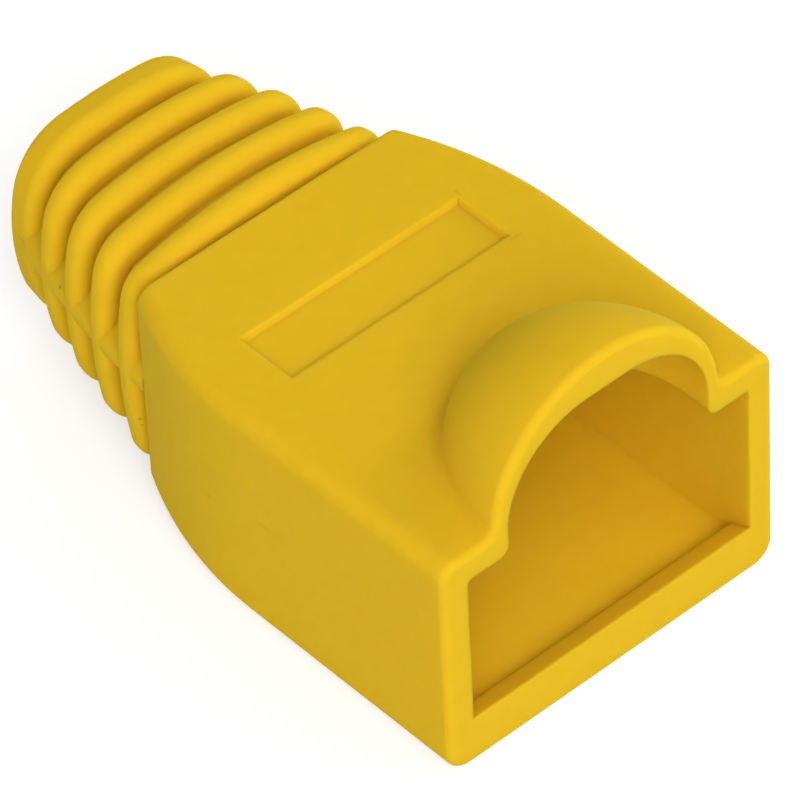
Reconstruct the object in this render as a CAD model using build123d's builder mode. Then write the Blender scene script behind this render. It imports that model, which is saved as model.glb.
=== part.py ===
from build123d import *
import os

# Strain relief boot for an eight-way modular plug, moulded in one piece from soft plastic.
# Millimetres. X runs across the boot, Y from the mouth towards the tail and Z up.
# The origin is under the middle of the boot, on the flat underside that it rests on.

# Plug that the boot closes round, and the cable that runs through the tail
plug_width = 11.7
plug_clearance = 0.12
cable_diameter = 5.5
cable_clearance = 0.1

# Housing
housing_width = 14.0
housing_height = 9.2
housing_length = 15.9
knee_station = 9.6
knee_width = 14.1
joint_width = 11.3
underside_rise = 0.35
top_edge_radius = 0.6
bottom_edge_radius = 0.85
mouth_rim_radius = 0.25

# Plug cavity inside the housing
roof_thickness = 1.05
floor_thickness = 1.0
cavity_length = 11.6
cavity_corner_radius = 0.2
funnel_length = 4.0

# Retaining lip across the bottom of the mouth
lip_depth = 0.9
lip_front_height = 0.95
lip_back_height = 0.55

# Hood that shields the plug's latch
hood_half_width = 4.8
hood_reach = 5.58
hood_sink = 0.1
hood_blend_radius = 0.4
hollow_half_width = 4.25
hollow_height = 3.3
hollow_reach = 4.95
hollow_corner_radius = 3.4
slot_rim_radius = 0.4

# Shallow label recess behind the hood
recess_width = 9.3
recess_length = 2.45
recess_depth = 0.22
recess_station = 9.6
recess_taper = 30

# Ribbed tail, set about the cable. A pair gives a size at the start of the tail and at its end.
tail_axis_height = 5.1
tail_widths = (11.5, 8.26)
tail_bow = 1.5
tail_rises = (4.44, 3.85)
tail_drops = (4.6, 3.7)
tail_crowns = (0.85, 0.35)
tail_leans = (0.4, 0.8)
tail_top_radii = (1.0, 2.5)
tail_bottom_radii = (0.8, 1.8)
bottom_radius_run = 0.4
rib_count = 4
rib_thickness = 0.92
rib_taper = 9
first_groove_width = 0.4
groove_width = 0.74
groove_depth = 0.8
groove_corner_radius = 0.5
collar_length = 1.45
rib_front_radius = 0.5
rib_back_bevel = 0.12
collar_back_bevel = 0.15

# Web along each side of the tail, at the parting line of the mould
web_height = 0.6
web_ramp = 0.85
web_inset = 0.03
web_blend_radius = 0.7

# Sizes that follow from the ones above
cavity_width = plug_width + 2 * plug_clearance
cavity_height = housing_height - roof_thickness - floor_thickness
bore_radius = cable_diameter / 2 + cable_clearance
rib_pitch = rib_thickness + groove_width
first_rib_station = housing_length + first_groove_width
collar_station = first_rib_station + rib_count * rib_pitch
overall_length = collar_station + collar_length
mouth_y = -overall_length / 2


def across(station):
    """Plane across the boot at a distance behind the mouth, with X to the right and Z up."""
    return Plane.XZ.offset(-(mouth_y + station))


def between(ends, share):
    """Value at a share of the way from the first end to the second."""
    return ends[0] + (ends[1] - ends[0]) * share


def tail_size(station):
    """Half width, rise, drop, crown, lean, top radius and bottom radius of the tail's outline."""
    run = (station - housing_length) / (overall_length - housing_length)
    bowed_run = run**tail_bow
    return (
        between(tail_widths, bowed_run) / 2,
        between(tail_rises, bowed_run),
        between(tail_drops, run),
        between(tail_crowns, run),
        between(tail_leans, run),
        between(tail_top_radii, run),
        between(tail_bottom_radii, min(run / bottom_radius_run, 1)),
    )


def tail_outline(side, rise, drop, crown, lean, top_radius, bottom_radius):
    """Outline round the tail's axis: crowned on top, flat below, its sides bowed."""
    shoulder = rise - crown
    with BuildSketch() as outline:
        with BuildLine():
            top_arc = ThreePointArc((lean - side, shoulder), (0, rise), (side - lean, shoulder))
            TangentArc((-side, 0), top_arc @ 0, tangent=(0, 1))
            TangentArc((side, 0), top_arc @ 1, tangent=(0, 1))
            bottom_line = Line((lean - side, -drop), (side - lean, -drop))
            TangentArc((-side, 0), bottom_line @ 0, tangent=(0, -1))
            TangentArc((side, 0), bottom_line @ 1, tangent=(0, -1))
        make_face()
        fillet(outline.vertices().group_by(Axis.Y)[-1], top_radius)
        fillet(outline.vertices().group_by(Axis.Y)[0], bottom_radius)
    return outline.sketch


def rib(front, length, back_bevel):
    """Slice of the tail from a station backwards, tapered, rounded in front and bevelled behind."""
    with BuildPart() as slice_of_tail:
        with BuildSketch(across(front + length)):
            with Locations((0, tail_axis_height)):
                add(tail_outline(*tail_size(front + length)))
        extrude(amount=length, taper=-rib_taper)
        chamfer(slice_of_tail.edges().group_by(Axis.Y)[-1], back_bevel)
        fillet(slice_of_tail.edges().group_by(Axis.Y)[0], rib_front_radius)
    return slice_of_tail.part


def groove_floor(front, back):
    """Core of the tail between two stations, ramping up on each side into the web."""
    with BuildPart() as core:
        for station in (front, back):
            side, rise, drop, crown, lean, top_radius, bottom_radius = tail_size(station)
            reach = side - web_inset
            core_reach = side - groove_depth
            crest = web_height / 2
            root_reach = core_reach - groove_depth / 2
            root = crest + web_ramp * (reach - root_reach) / (reach - core_reach)
            with BuildSketch(across(station)) as section:
                with Locations((0, tail_axis_height)):
                    add(
                        tail_outline(
                            core_reach,
                            rise - groove_depth,
                            drop - groove_depth,
                            crown,
                            lean,
                            max(top_radius - groove_depth, groove_corner_radius),
                            max(bottom_radius - groove_depth, groove_corner_radius),
                        )
                    )
                    Polygon(
                        (reach, crest),
                        (root_reach, root),
                        (-root_reach, root),
                        (-reach, crest),
                        (-reach, -crest),
                        (-root_reach, -root),
                        (root_reach, -root),
                        (reach, -crest),
                    )
                corners = section.vertices().sort_by(
                    lambda vertex: abs(vertex.Y - tail_axis_height)
                )
                fillet(corners[:8], web_blend_radius)
        loft()
    return core.part


# Housing: its plan tapers past the knee, its underside rises there, and its long edges are rounded
with BuildPart() as housing:
    with BuildSketch(Plane.XY):
        with BuildLine():
            mouth_line = Line((0, mouth_y), (housing_width / 2, mouth_y))
            side_line = Line(mouth_line @ 1, (knee_width / 2, mouth_y + knee_station))
            side_curve = TangentArc(
                side_line @ 1, (joint_width / 2, mouth_y + housing_length), tangent=side_line % 1
            )
            joint_line = Line(side_curve @ 1, (0, mouth_y + housing_length))
            mirror(about=Plane.YZ)
        make_face()
    extrude(amount=housing_height)
    with BuildSketch(Plane.YZ):
        with BuildLine():
            under_line = Line((mouth_y, 0), (mouth_y + knee_station, 0))
            under_curve = TangentArc(
                under_line @ 1, (mouth_y + housing_length, underside_rise), tangent=under_line % 1
            )
            back_line = Line(under_curve @ 1, (mouth_y + housing_length, housing_height))
            top_line = Line(back_line @ 1, (mouth_y, housing_height))
            Line(top_line @ 1, under_line @ 0)
        make_face()
    extrude(amount=knee_width, both=True, mode=Mode.INTERSECT)
    long_edges = (
        housing.edges()
        .filter_by(Axis.X, reverse=True)
        .filter_by(Axis.Z, reverse=True)
        .sort_by(Axis.Z)
    )
    fillet(long_edges[:4], bottom_edge_radius)
    fillet(long_edges[4:], top_edge_radius)

# Ribbed tail: slices of one tapering outline, on a core that the grooves leave
rib_stations = [first_rib_station + index * rib_pitch for index in range(rib_count)]
ribs = [rib(station, rib_thickness, rib_back_bevel) for station in rib_stations]
collar = rib(collar_station, collar_length, collar_back_bevel)
seats = [housing_length]
seats += [station + rib_thickness / 2 for station in rib_stations + [collar_station]]
floors = [groove_floor(front, back) for front, back in zip(seats, seats[1:])]

with BuildPart() as tail:
    add(ribs)
    add(collar)
    add(floors)

# Hood over the latch: half of a spheroid, whose round axis runs back from the mouth
hood_axis_height = housing_height - hood_sink

with BuildPart() as hood_shell:
    with BuildSketch(Plane.XY.offset(hood_axis_height)):
        with BuildLine():
            hood_arc = EllipticalCenterArc(
                (0, mouth_y), hood_half_width, hood_reach, start_angle=0, arc_size=90
            )
            hood_line = Line(hood_arc @ 1, (0, mouth_y))
            Line(hood_line @ 1, hood_arc @ 0)
        make_face()
    revolve(axis=Axis((0, mouth_y, hood_axis_height), (0, -1, 0)), revolution_arc=180)

# Hollow of the hood: quarter of a barrel with rounded ends, its axis across the boot
hollow_axis_height = housing_height + hollow_height - hollow_reach

with BuildPart() as hood_hollow:
    with BuildSketch(Plane.XY.offset(hollow_axis_height)):
        with Locations((0, mouth_y + hollow_reach / 2)):
            hollow_plan = Rectangle(2 * hollow_half_width, hollow_reach)
        fillet(hollow_plan.vertices().group_by(Axis.Y)[-1], hollow_corner_radius)
    revolve(axis=Axis((0, mouth_y, hollow_axis_height), (1, 0, 0)), revolution_arc=90)

with BuildPart() as boot:
    add(housing)
    add(tail)
    # Hood, blended into the top of the housing, then one soft rim round the whole mouth
    add(hood_shell)
    hood_foot = boot.edges().filter_by(
        lambda edge: abs(edge.center().Z - housing_height) < 1e-6
        and edge.geom_type != GeomType.LINE
        and edge.center().Y < mouth_y + hood_reach
    )
    fillet(hood_foot, hood_blend_radius)
    fillet(boot.faces().sort_by(Axis.Y)[0].outer_wire().edges(), mouth_rim_radius)
    add(hood_hollow, mode=Mode.SUBTRACT)

    # Plug cavity, the funnel behind it and the passage for the cable
    cavity_centre = (0, floor_thickness + cavity_height / 2)
    with BuildSketch(across(0)) as cavity_section:
        with Locations(cavity_centre):
            RectangleRounded(cavity_width, cavity_height, cavity_corner_radius)
    extrude(amount=-cavity_length, mode=Mode.SUBTRACT)
    with BuildSketch(across(cavity_length)):
        with Locations(cavity_centre):
            RectangleRounded(cavity_width, cavity_height, cavity_corner_radius)
    with BuildSketch(across(cavity_length + funnel_length)):
        with Locations((0, tail_axis_height)):
            Circle(bore_radius)
    loft(mode=Mode.SUBTRACT)
    with BuildSketch(across(cavity_length + funnel_length)):
        with Locations((0, tail_axis_height)):
            Circle(bore_radius)
    extrude(amount=-(overall_length - cavity_length - funnel_length), mode=Mode.SUBTRACT)

    # Soft corner all round the slot where the hood's hollow meets the cavity's ceiling
    ceiling_height = floor_thickness + cavity_height
    slot_rim = boot.edges().filter_by(
        lambda edge: abs(edge.center().Z - ceiling_height) < 1e-4
        and abs(edge.center().X) < hollow_half_width + 1e-4
        and edge.center().Y > mouth_y + 1e-4
        and edge.center().Y < mouth_y + hollow_reach + 1e-4
    )
    fillet(slot_rim, slot_rim_radius)

    # Retaining lip, higher at the mouth than behind
    with BuildSketch(Plane.YZ):
        with BuildLine():
            Polyline(
                (mouth_y, floor_thickness / 2),
                (mouth_y, floor_thickness + lip_front_height),
                (mouth_y + lip_depth, floor_thickness + lip_back_height),
                (mouth_y + lip_depth, floor_thickness / 2),
                close=True,
            )
        make_face()
    extrude(amount=cavity_width / 2, both=True)

    # Label recess
    with BuildSketch(Plane.XY.offset(housing_height)):
        with Locations((0, mouth_y + recess_station + recess_length / 2)):
            Rectangle(recess_width, recess_length)
    extrude(amount=-recess_depth, taper=recess_taper, mode=Mode.SUBTRACT)

boot.part.label = "boot"
os.makedirs("parts", exist_ok=True)
export_step(boot.part, "parts/boot.step")
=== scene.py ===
"""Strain relief boot for a modular plug, dressed and lit as a studio product photograph.

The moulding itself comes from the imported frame. This script gives it its yellow vinyl,
which rounds the light over its edges, and stands it on a white sweep under soft lamps.
Lengths are in metres and angles in degrees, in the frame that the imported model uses:
Y runs from the mouth towards the tail, Z is up, and the underside rests at zero.
"""

import logging
import math
from dataclasses import dataclass, field
from enum import Enum

import bpy
from mathutils import Matrix, Vector


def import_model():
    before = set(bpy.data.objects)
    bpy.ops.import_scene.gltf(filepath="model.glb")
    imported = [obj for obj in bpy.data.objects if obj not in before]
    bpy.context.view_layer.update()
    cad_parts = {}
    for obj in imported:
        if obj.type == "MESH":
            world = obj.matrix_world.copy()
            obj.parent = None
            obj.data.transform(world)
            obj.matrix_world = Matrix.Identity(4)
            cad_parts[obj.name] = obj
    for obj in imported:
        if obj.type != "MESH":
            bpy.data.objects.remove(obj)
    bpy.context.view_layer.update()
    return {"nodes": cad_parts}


LOG = logging.getLogger("boot_scene")
MM = 0.001

Socket = bpy.types.NodeSocket
Colour = tuple[float, float, float, float]
Triple = tuple[float, float, float]
Range = tuple[float, float]

WHITE: Colour = (1.0, 1.0, 1.0, 1.0)


class Ray(Enum):
    """Kinds of ray that a surface may answer to, named as the Light Path node names them."""

    CAMERA = "Is Camera Ray"
    GLOSSY = "Is Glossy Ray"
    TRANSMISSION = "Is Transmission Ray"


def direction(azimuth: float, elevation: float) -> Vector:
    """Unit vector from the boot towards a place round it.

    Args:
        azimuth: Turn about Z, 0 being in front of the mouth and 90 on the +X side.
        elevation: Height above the horizon.

    Returns:
        The vector, in the row frame.
    """
    turn, height = math.radians(azimuth), math.radians(elevation)
    flat = math.cos(height)
    return Vector((math.sin(turn) * flat, -math.cos(turn) * flat, math.sin(height)))


@dataclass
class ShaderTree:
    """A node tree, with short calls for the nodes that the finishes and the world share.

    Attributes:
        tree: The nodes of a material or of the world.
    """

    tree: bpy.types.NodeTree

    @classmethod
    def started(cls, owner: bpy.types.Material | bpy.types.World) -> "ShaderTree":
        """Turns nodes on for a material or a world, and clears them.

        Args:
            owner: The material or world.

        Returns:
            Its empty tree.
        """
        owner.use_nodes = True
        owner.node_tree.nodes.clear()
        return cls(owner.node_tree)

    def feed(self, target: Socket, value: object) -> None:
        """Links a socket to an input, or sets any other value as the input's own.

        Args:
            target: The input.
            value: The socket or the value.
        """
        if isinstance(value, Socket):
            self.tree.links.new(value, target)
        else:
            target.default_value = value

    def node(self, kind: str, **inputs: object) -> bpy.types.Node:
        """Adds a node and feeds its inputs.

        Args:
            kind: The node's type name.
            inputs: Sockets or values by input name, with an underscore for each space.

        Returns:
            The new node.
        """
        made = self.tree.nodes.new(kind)
        for key, value in inputs.items():
            self.feed(made.inputs[key.replace("_", " ")], value)
        return made

    def noise(self, point: Socket, scale: float, detail: float) -> Socket:
        """Adds a noise texture.

        Args:
            point: Coordinates that it is read at.
            scale: Cells per metre.
            detail: Number of octaves.

        Returns:
            The noise's value socket.
        """
        made = self.node("ShaderNodeTexNoise", Vector=point, Scale=scale, Detail=detail)
        return made.outputs["Fac"]

    def remap(self, value: Socket, band: Range, out: Range) -> Socket:
        """Maps a band of a value onto another one.

        Args:
            value: The value.
            band: Where its band starts and ends.
            out: What the two ends become.

        Returns:
            The mapped value's socket.
        """
        made = self.node(
            "ShaderNodeMapRange",
            Value=value,
            From_Min=band[0],
            From_Max=band[1],
            To_Min=out[0],
            To_Max=out[1],
        )
        return made.outputs["Result"]

    def bump(self, height: Socket, rise: float, normal: Socket) -> Socket:
        """Adds a bump on top of a normal.

        Args:
            height: The relief, from 0 to 1.
            rise: How high 1 stands.
            normal: The normal that it tilts.

        Returns:
            The tilted normal's socket.
        """
        made = self.node(
            "ShaderNodeBump", Height=height, Strength=1.0, Distance=rise, Normal=normal
        )
        return made.outputs["Normal"]

    def spot(self, point: Socket, mark: "Mark") -> Socket:
        """Marks out an ellipsoid that fades towards its rim.

        Args:
            point: Coordinates that it is read at.
            mark: The ellipsoid's place, half sizes and strength.

        Returns:
            The share's socket: the mark's depth in the middle and 0 at the rim.
        """
        vector = point
        for operation, values in (("SUBTRACT", mark.place), ("DIVIDE", mark.reach)):
            step = self.node("ShaderNodeVectorMath")
            step.operation = operation
            self.feed(step.inputs[0], vector)
            self.feed(step.inputs[1], [value * MM for value in values])
            vector = step.outputs["Vector"]
        away = self.node("ShaderNodeVectorMath")
        away.operation = "LENGTH"
        self.feed(away.inputs[0], vector)
        return self.remap(away.outputs["Value"], (mark.core, 1.0), (mark.depth, 0.0))

    def blend(self, share: Socket, first: object, second: object) -> Socket:
        """Mixes two colours.

        Args:
            share: How much of the second colour shows.
            first: Colour or socket where the share is 0.
            second: Colour or socket where it is 1.

        Returns:
            The mixed colour's socket.
        """
        made = self.node("ShaderNodeMix")
        made.data_type = "RGBA"
        self.feed(made.inputs["Factor"], share)
        self.feed(made.inputs[6], first)  # the colour pair has the same names as the others
        self.feed(made.inputs[7], second)
        return made.outputs[2]

    def eye_rays(self) -> Socket:
        """Picks out the rays that show a surface to the camera, in a mirror or through glass.

        Returns:
            A socket that is 1 for those rays and 0 for the ones that only carry light.
        """
        path = self.node("ShaderNodeLightPath")
        seen = path.outputs[Ray.CAMERA.value]
        for ray in (Ray.GLOSSY, Ray.TRANSMISSION):
            either = self.node("ShaderNodeMath")
            either.operation = "MAXIMUM"
            self.feed(either.inputs[0], seen)
            self.feed(either.inputs[1], path.outputs[ray.value])
            seen = either.outputs[0]
        return seen


@dataclass(frozen=True)
class Mark:
    """A small fault in the moulding that shows as a darker spot or line.

    Attributes:
        place: Its middle, in millimetres.
        reach: Half its size along X, Y and Z, in millimetres.
        depth: How much of the colour it takes.
        core: Share of its size that is darkest.
    """

    place: Triple
    reach: Triple
    depth: float
    core: float = 0.3


@dataclass(frozen=True)
class YellowVinyl:
    """Finish of the boot: soft yellow vinyl with a fine matte grain.

    Attributes:
        colour: Main colour, linear.
        deep_colour: Colour of the slightly darker mottling in it.
        mottle_scale: Patches of mottling per metre.
        mottle_band: Noise values between which one colour turns into the other.
        grain_scale: Grains per metre.
        grain_height: Height of the grain.
        grain_band: Noise values between which the roughness changes.
        roughness: Lowest and highest roughness over the grain.
        ripple_scale: Shallow ripples per metre, left by the mould.
        ripple_height: Height of the ripples.
        refraction: Refractive index.
        sheen_level: Strength of the surface reflection.
        edge_radius: Radius that every corner is softened to, as the mould leaves it.
        edge_samples: Rays that look for corners.
        glow: Share of the light that passes just under the surface.
        glow_depth: How far that light travels.
        glow_radii: Share of that distance for red, green and blue.
        painted_shade_colour: Painted shade laid into creases and inner corners, linear.
        crease_reach: How near the walls of a crease stand.
        crease_samples: Rays that look for creases.
        crease_band: Open share of the view in the deepest creases and where they end.
        painted_shade_depth: Share of the painted shade in the deepest creases.
        dark_colour: Colour in the middle of a mark, linear.
        marks: Specks in the tail, the trace of the parting line on the collar and the left
            flank, and the two overruns at the right corners of the label recess.
    """

    colour: Colour = (0.774, 0.489, 0.0165, 1.0)
    deep_colour: Colour = (0.760, 0.477, 0.0157, 1.0)
    mottle_scale: float = 1500.0
    mottle_band: Range = (0.35, 0.65)
    grain_scale: float = 9000.0
    grain_height: float = 0.007 * MM
    grain_band: Range = (0.3, 0.7)
    roughness: Range = (0.62, 0.72)
    ripple_scale: float = 420.0
    ripple_height: float = 0.008 * MM
    refraction: float = 1.5
    sheen_level: float = 0.02
    edge_radius: float = 0.16 * MM
    edge_samples: int = 4
    glow: float = 0.6
    glow_depth: float = 0.8 * MM
    glow_radii: Triple = (0.95, 0.9, 0.3)
    painted_shade_colour: Colour = (0.40, 0.24, 0.007, 1.0)
    crease_reach: float = 0.4 * MM
    crease_samples: int = 3
    crease_band: Range = (0.3, 0.85)
    painted_shade_depth: float = 0.3
    dark_colour: Colour = (0.25, 0.15, 0.008, 1.0)
    marks: tuple[Mark, ...] = (
        Mark(place=(-4.89, 8.72, 5.46), reach=(0.09, 0.07, 0.08), depth=0.75),
        Mark(place=(-5.48, 4.28, 3.02), reach=(0.08, 0.08, 0.08), depth=0.6),
        Mark(place=(-5.44, 4.26, 2.73), reach=(0.07, 0.06, 0.06), depth=0.4),
        Mark(place=(-6.96, -0.91, 4.32), reach=(0.08, 0.06, 0.06), depth=0.35),
        Mark(place=(-4.25, 11.40, 5.30), reach=(0.30, 0.45, 0.10), depth=0.2),
        Mark(place=(-7.04, -4.00, 5.05), reach=(0.30, 0.85, 0.09), depth=0.12),
        Mark(place=(4.76, 0.02, 9.20), reach=(0.07, 0.26, 0.20), depth=0.2),
        Mark(place=(4.72, -2.79, 9.20), reach=(0.34, 0.07, 0.20), depth=0.2),
    )

    def paint(self, tree: ShaderTree, point: Socket) -> Socket:
        """Lays the colour: mottled vinyl with painted shade darkening the creases, and darker
        at the marks.

        Args:
            tree: The material's tree.
            point: Coordinates on the boot.

        Returns:
            The colour's socket.
        """
        mottle = tree.remap(
            tree.noise(point, self.mottle_scale, 3.0), self.mottle_band, (0.0, 1.0)
        )
        paint = tree.blend(mottle, self.colour, self.deep_colour)
        # Painted shade: the colour darkens where ambient occlusion finds the surface closed
        # in, in creases and inner corners.
        opening = tree.node("ShaderNodeAmbientOcclusion", Distance=self.crease_reach)
        opening.samples = self.crease_samples
        opening.only_local = True
        crease = tree.remap(
            opening.outputs["AO"], self.crease_band, (self.painted_shade_depth, 0.0)
        )
        paint = tree.blend(crease, paint, self.painted_shade_colour)
        for mark in self.marks:
            paint = tree.blend(tree.spot(point, mark), paint, self.dark_colour)
        return paint

    def material(self) -> bpy.types.Material:
        """Builds the material.

        Returns:
            The vinyl.
        """
        made = bpy.data.materials.new("yellow_vinyl")
        tree = ShaderTree.started(made)
        point = tree.node("ShaderNodeTexCoord").outputs["Object"]
        grain = tree.noise(point, self.grain_scale, 2.0)
        ripple = tree.noise(point, self.ripple_scale, 1.0)
        soft = tree.node("ShaderNodeBevel", Radius=self.edge_radius)
        soft.samples = self.edge_samples
        wave = tree.bump(ripple, self.ripple_height, soft.outputs["Normal"])
        shader = tree.node(
            "ShaderNodeBsdfPrincipled",
            Base_Color=self.paint(tree, point),
            Roughness=tree.remap(grain, self.grain_band, self.roughness),
            IOR=self.refraction,
            Specular_IOR_Level=self.sheen_level,
            Normal=tree.bump(grain, self.grain_height, wave),
            Subsurface_Weight=self.glow,
            Subsurface_Scale=self.glow_depth,
            Subsurface_Radius=self.glow_radii,
        )
        tree.node("ShaderNodeOutputMaterial", Surface=shader.outputs["BSDF"])
        return made


@dataclass(frozen=True)
class WhiteSweep:
    """Finish of the floor: matte white paper, shown as white where no shadow falls.

    Attributes:
        colour: The paper's own colour.
        lift: White added for the camera, on top of the light that the paper returns.
    """

    colour: Colour = (0.6, 0.6, 0.6, 1.0)
    lift: float = 0.56

    def material(self) -> bpy.types.Material:
        """Builds the material.

        Returns:
            The paper.
        """
        made = bpy.data.materials.new("white_sweep")
        tree = ShaderTree.started(made)
        paper = tree.node("ShaderNodeBsdfDiffuse", Color=self.colour, Roughness=0.0)
        white = tree.node("ShaderNodeEmission", Color=WHITE, Strength=self.lift)
        lifted = tree.node("ShaderNodeAddShader")
        tree.feed(lifted.inputs[0], paper.outputs["BSDF"])
        tree.feed(lifted.inputs[1], white.outputs["Emission"])
        shown = tree.node("ShaderNodeMixShader")
        tree.feed(shown.inputs[0], tree.eye_rays())
        tree.feed(shown.inputs[1], paper.outputs["BSDF"])
        tree.feed(shown.inputs[2], lifted.outputs["Shader"])
        tree.node("ShaderNodeOutputMaterial", Surface=shown.outputs["Shader"])
        return made


@dataclass
class Boot:
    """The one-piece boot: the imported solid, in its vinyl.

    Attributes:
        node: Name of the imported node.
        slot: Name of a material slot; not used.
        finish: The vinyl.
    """

    node: str = "boot"
    slot: str = "boot"
    finish: YellowVinyl = field(default_factory=YellowVinyl)

    def dress(self, nodes: dict[str, bpy.types.Object]) -> bpy.types.Object:
        """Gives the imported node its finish.

        Args:
            nodes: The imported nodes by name.

        Returns:
            The boot's object.
        """
        boot = nodes[self.node]
        boot.data.materials.clear()
        boot.data.materials.append(self.finish.material())
        return boot


@dataclass
class SoftLamp:
    """A square softbox that faces the boot.

    Attributes:
        name: Its name.
        azimuth: Where it stands, seen from the boot.
        elevation: How high it stands.
        size: Length of its side.
        level: Light that it gives a surface that faces it, where 1 shows a colour as written.
        distance: How far away it stands.
    """

    name: str
    azimuth: float
    elevation: float
    size: float
    level: float
    distance: float = 0.6

    def build(self, aim: Vector) -> bpy.types.Object:
        """Makes the lamp.

        Args:
            aim: The point that it faces.

        Returns:
            The lamp's object.
        """
        data = bpy.data.lights.new(self.name, "AREA")
        data.shape = "SQUARE"
        data.size = self.size
        data.energy = self.level * math.pi**2 * self.distance**2
        lamp = bpy.data.objects.new(self.name, data)
        away = direction(self.azimuth, self.elevation)
        lamp.location = aim + away * self.distance
        lamp.rotation_mode = "QUATERNION"
        lamp.rotation_quaternion = away.to_track_quat("Z", "Y")
        bpy.context.scene.collection.objects.link(lamp)
        return lamp


@dataclass
class Studio:
    """White floor and backdrop, and the softboxes round the boot.

    Attributes:
        floor_size: Side of the floor.
        paper: Finish of the floor.
        lamps: The softboxes.
    """

    floor_size: float = 4.0
    paper: WhiteSweep = field(default_factory=WhiteSweep)
    lamps: tuple[SoftLamp, ...] = (
        SoftLamp("key_softbox", azimuth=-30.0, elevation=37.0, size=0.34, level=0.48),
        SoftLamp("left_softbox", azimuth=-44.0, elevation=46.0, size=0.34, level=0.27),
        SoftLamp("low_softbox", azimuth=-30.0, elevation=15.0, size=0.3, level=0.15),
        SoftLamp("top_softbox", azimuth=16.0, elevation=52.0, size=0.4, level=0.21),
        SoftLamp("right_softbox", azimuth=82.0, elevation=34.0, size=0.4, level=0.20),
        SoftLamp("fill_softbox", azimuth=96.0, elevation=9.0, size=0.18, level=0.30),
        SoftLamp("side_softbox", azimuth=34.0, elevation=24.0, size=0.34, level=0.10),
        SoftLamp("tail_softbox", azimuth=-116.0, elevation=17.0, size=0.4, level=0.22),
        SoftLamp("back_softbox", azimuth=165.0, elevation=42.0, size=0.4, level=0.15),
    )

    def build_floor(self) -> bpy.types.Object:
        """Makes the floor under the boot's underside.

        Returns:
            The floor's object.
        """
        half = self.floor_size / 2
        corners = [(-half, -half, 0), (half, -half, 0), (half, half, 0), (-half, half, 0)]
        mesh = bpy.data.meshes.new("floor")
        mesh.from_pydata(corners, [], [(0, 1, 2, 3)])
        mesh.materials.append(self.paper.material())
        floor = bpy.data.objects.new("floor", mesh)
        bpy.context.scene.collection.objects.link(floor)
        return floor

    def build_world(self) -> bpy.types.World:
        """Makes the backdrop: white where it is seen, and no light of its own.

        Returns:
            The world.
        """
        world = bpy.data.worlds.new("studio")
        tree = ShaderTree.started(world)
        backdrop = tree.node("ShaderNodeBackground", Color=WHITE, Strength=tree.eye_rays())
        tree.node("ShaderNodeOutputWorld", Surface=backdrop.outputs["Background"])
        bpy.context.scene.world = world
        return world

    def build(self, aim: Vector) -> None:
        """Makes the floor, the world and the lamps.

        Args:
            aim: The point that the lamps face.
        """
        LOG.info("floor %s", self.build_floor().name)
        LOG.info("world %s", self.build_world().name)
        for lamp in self.lamps:
            LOG.info("lamp %s", lamp.build(aim).name)


@dataclass
class PhotoCamera:
    """Camera at the photograph's viewpoint.

    Attributes:
        azimuth: Where it stands, seen from the boot.
        elevation: How high it stands.
        roll: Turn about its own axis.
        distance: How far it is from the aim.
        aim: The point in the middle of the picture.
        lens: Focal length in millimetres.
        sensor: Width of the sensor in millimetres.
        view: Nearest and farthest distance that it shows.
    """

    azimuth: float = -39.891
    elevation: float = 44.814
    roll: float = -2.998
    distance: float = 252.507 * MM
    aim: Triple = (-0.974 * MM, -3.443 * MM, 6.281 * MM)
    lens: float = 358.35
    sensor: float = 36.0
    view: Range = (0.01, 50.0)

    def build(self) -> bpy.types.Object:
        """Makes the camera and hands it to the scene.

        Returns:
            The camera's object.
        """
        data = bpy.data.cameras.new("photo_camera")
        data.lens = self.lens
        data.sensor_width = self.sensor
        data.clip_start, data.clip_end = self.view
        camera = bpy.data.objects.new("photo_camera", data)
        away = direction(self.azimuth, self.elevation)
        level = away.to_track_quat("Z", "Y").to_matrix()
        camera.rotation_mode = "QUATERNION"
        turned = level @ Matrix.Rotation(math.radians(self.roll), 3, "Z")
        camera.rotation_quaternion = turned.to_quaternion()
        camera.location = Vector(self.aim) + away * self.distance
        bpy.context.scene.collection.objects.link(camera)
        bpy.context.scene.camera = camera
        return camera


def main() -> None:
    """Builds the camera, the studio and the boot, and reports each."""
    logging.basicConfig(level=logging.INFO, format="%(name)s: %(message)s")
    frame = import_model()
    bpy.context.scene.view_settings.view_transform = "Standard"
    camera = PhotoCamera()
    LOG.info("camera %s", camera.build().name)
    Studio().build(Vector(camera.aim))
    boot = Boot().dress(frame["nodes"])
    LOG.info("boot %s", boot.name)


if __name__ == "__main__":
    main()
